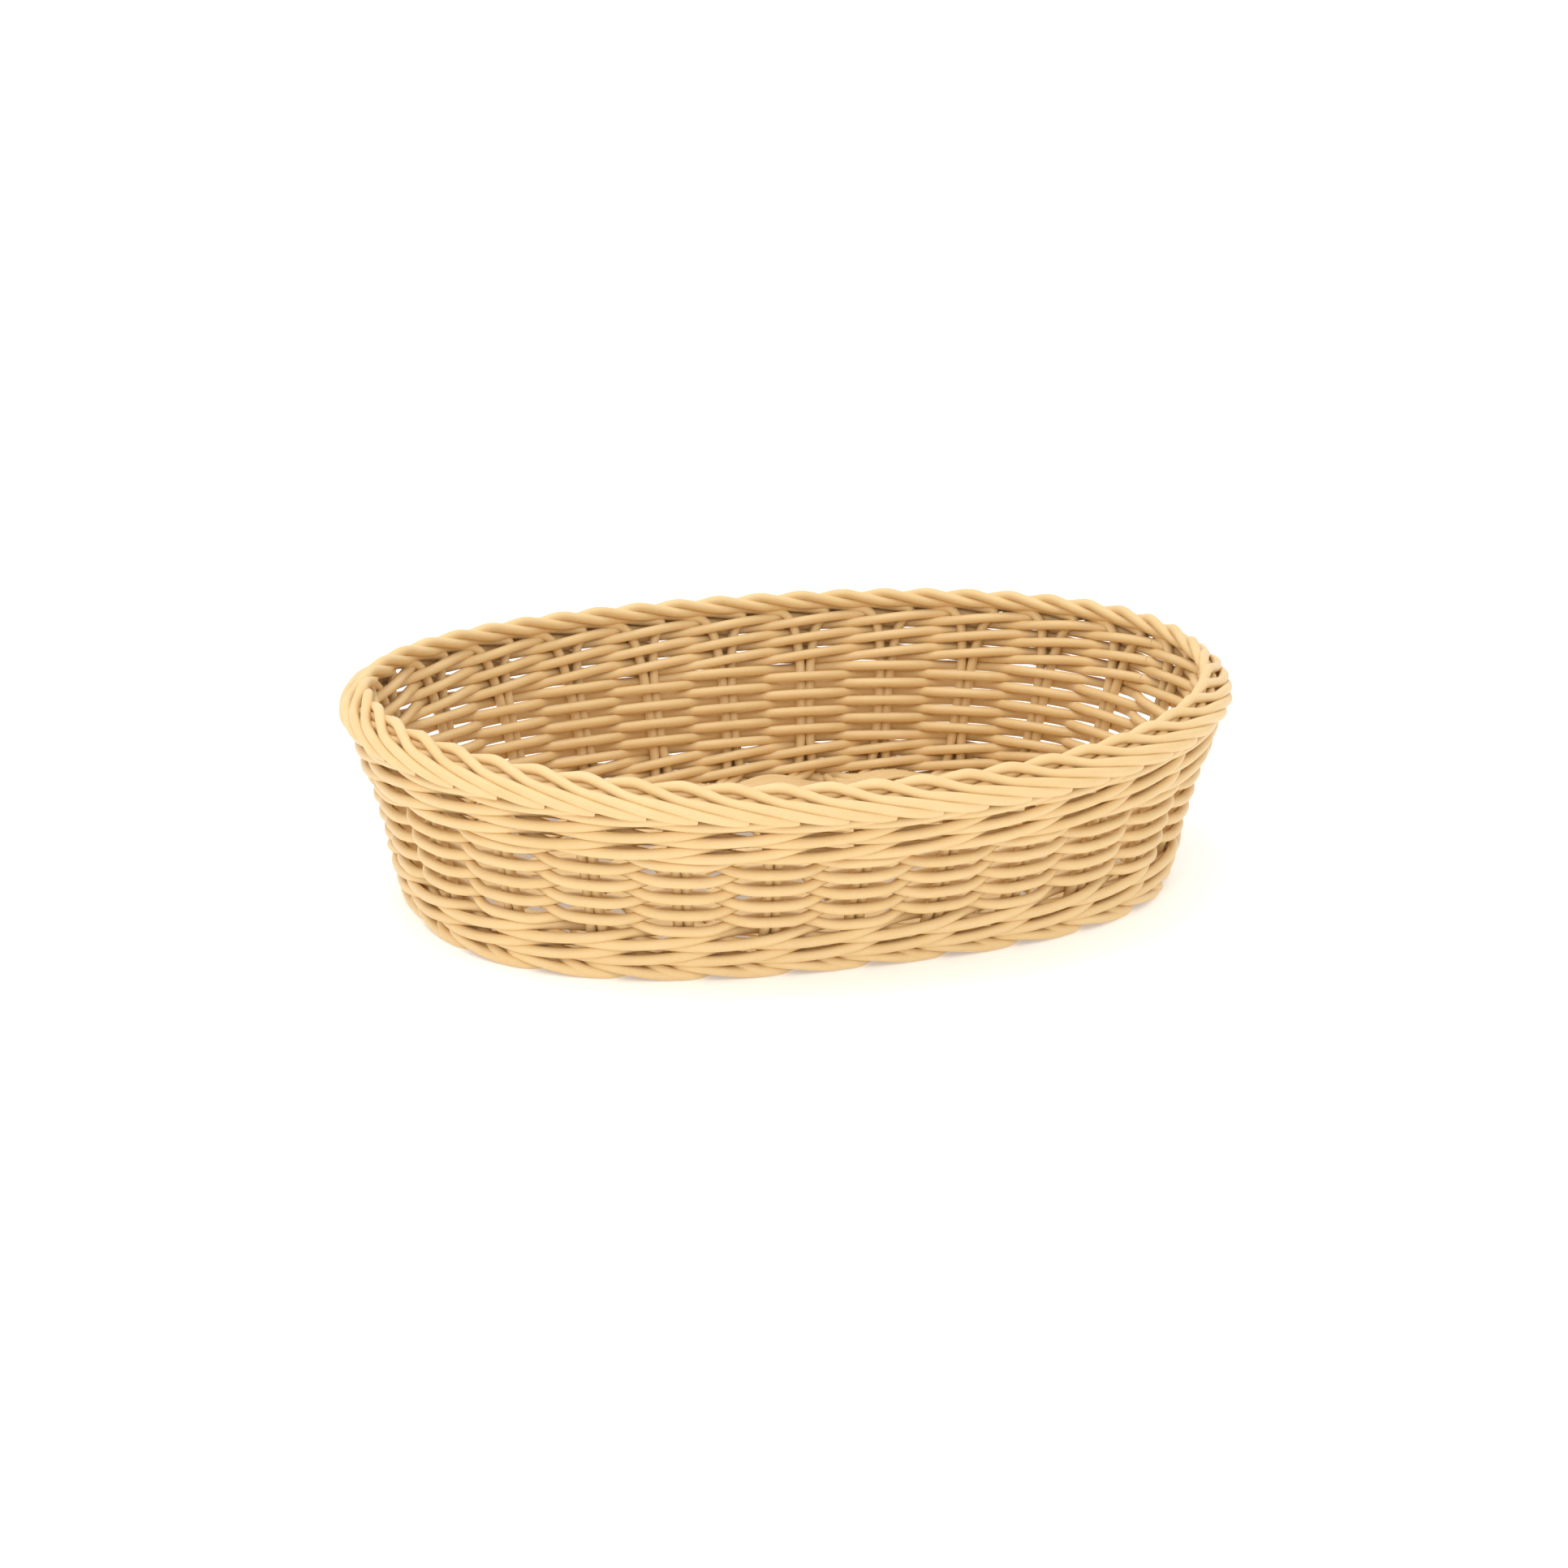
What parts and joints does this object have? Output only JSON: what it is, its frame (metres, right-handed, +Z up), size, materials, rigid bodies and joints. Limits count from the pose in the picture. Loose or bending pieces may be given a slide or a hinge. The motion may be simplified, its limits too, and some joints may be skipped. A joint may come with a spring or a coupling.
{
  "type": "oval woven basket",
  "caption": "Open oval basket with flared sides, hand-woven from round tan plastic strands, with a rolled rim border, a foot border and a woven floor.",
  "frame": {"origin": "middle of the basket's footprint, on the surface it stands on", "axes": "+X along the basket's length, +Y across it, +Z up"},
  "size_m": [0.3596, 0.265, 0.0885],
  "materials": {
    "weaver_strand": "round wicker-coloured plastic strand, satin, smooth, very slight mottle",
    "stake_strand": "round wicker-coloured plastic strand, satin, a shade lighter where it rolls over the rim",
    "floor_stick": "round wicker-coloured plastic rod, satin",
    "floor_strand": "fine wicker-coloured plastic strands laid side by side, satin"
  },
  "bodies": {
    "root": {"rand_row_1": "weaver_strand", "rand_row_2": "weaver_strand", "rand_row_3": "weaver_strand", "rand_row_4": "weaver_strand", "rand_row_5": "weaver_strand", "rand_row_6": "weaver_strand", "rand_row_7": "weaver_strand", "rand_row_8": "weaver_strand", "rand_row_9": "weaver_strand", "base_wale_1": "weaver_strand", "base_wale_2": "weaver_strand", "rim_wale_1": "weaver_strand", "rim_wale_2": "weaver_strand", "rim_wale_3": "weaver_strand", "stake_pair_01": "stake_strand", "stake_pair_02": "stake_strand", "stake_pair_03": "stake_strand", "stake_pair_04": "stake_strand", "stake_pair_05": "stake_strand", "stake_pair_06": "stake_strand", "stake_pair_07": "stake_strand", "stake_pair_08": "stake_strand", "stake_pair_09": "stake_strand", "stake_pair_10": "stake_strand", "stake_pair_11": "stake_strand", "stake_pair_12": "stake_strand", "stake_pair_13": "stake_strand", "stake_pair_14": "stake_strand", "stake_pair_15": "stake_strand", "stake_pair_16": "stake_strand", "stake_pair_17": "stake_strand", "stake_pair_18": "stake_strand", "stake_pair_19": "stake_strand", "stake_pair_20": "stake_strand", "stake_pair_21": "stake_strand", "stake_pair_22": "stake_strand", "stake_pair_23": "stake_strand", "stake_pair_24": "stake_strand", "stake_pair_25": "stake_strand", "stake_pair_26": "stake_strand", "floor_sticks": "floor_stick", "floor_band_01": "floor_strand", "floor_band_02": "floor_strand", "floor_band_03": "floor_strand", "floor_band_04": "floor_strand", "floor_band_05": "floor_strand", "floor_band_06": "floor_strand", "floor_band_07": "floor_strand", "floor_band_08": "floor_strand", "floor_band_09": "floor_strand", "floor_band_10": "floor_strand", "floor_band_11": "floor_strand", "floor_band_12": "floor_strand", "floor_band_13": "floor_strand"}
  },
  "joints": []
}
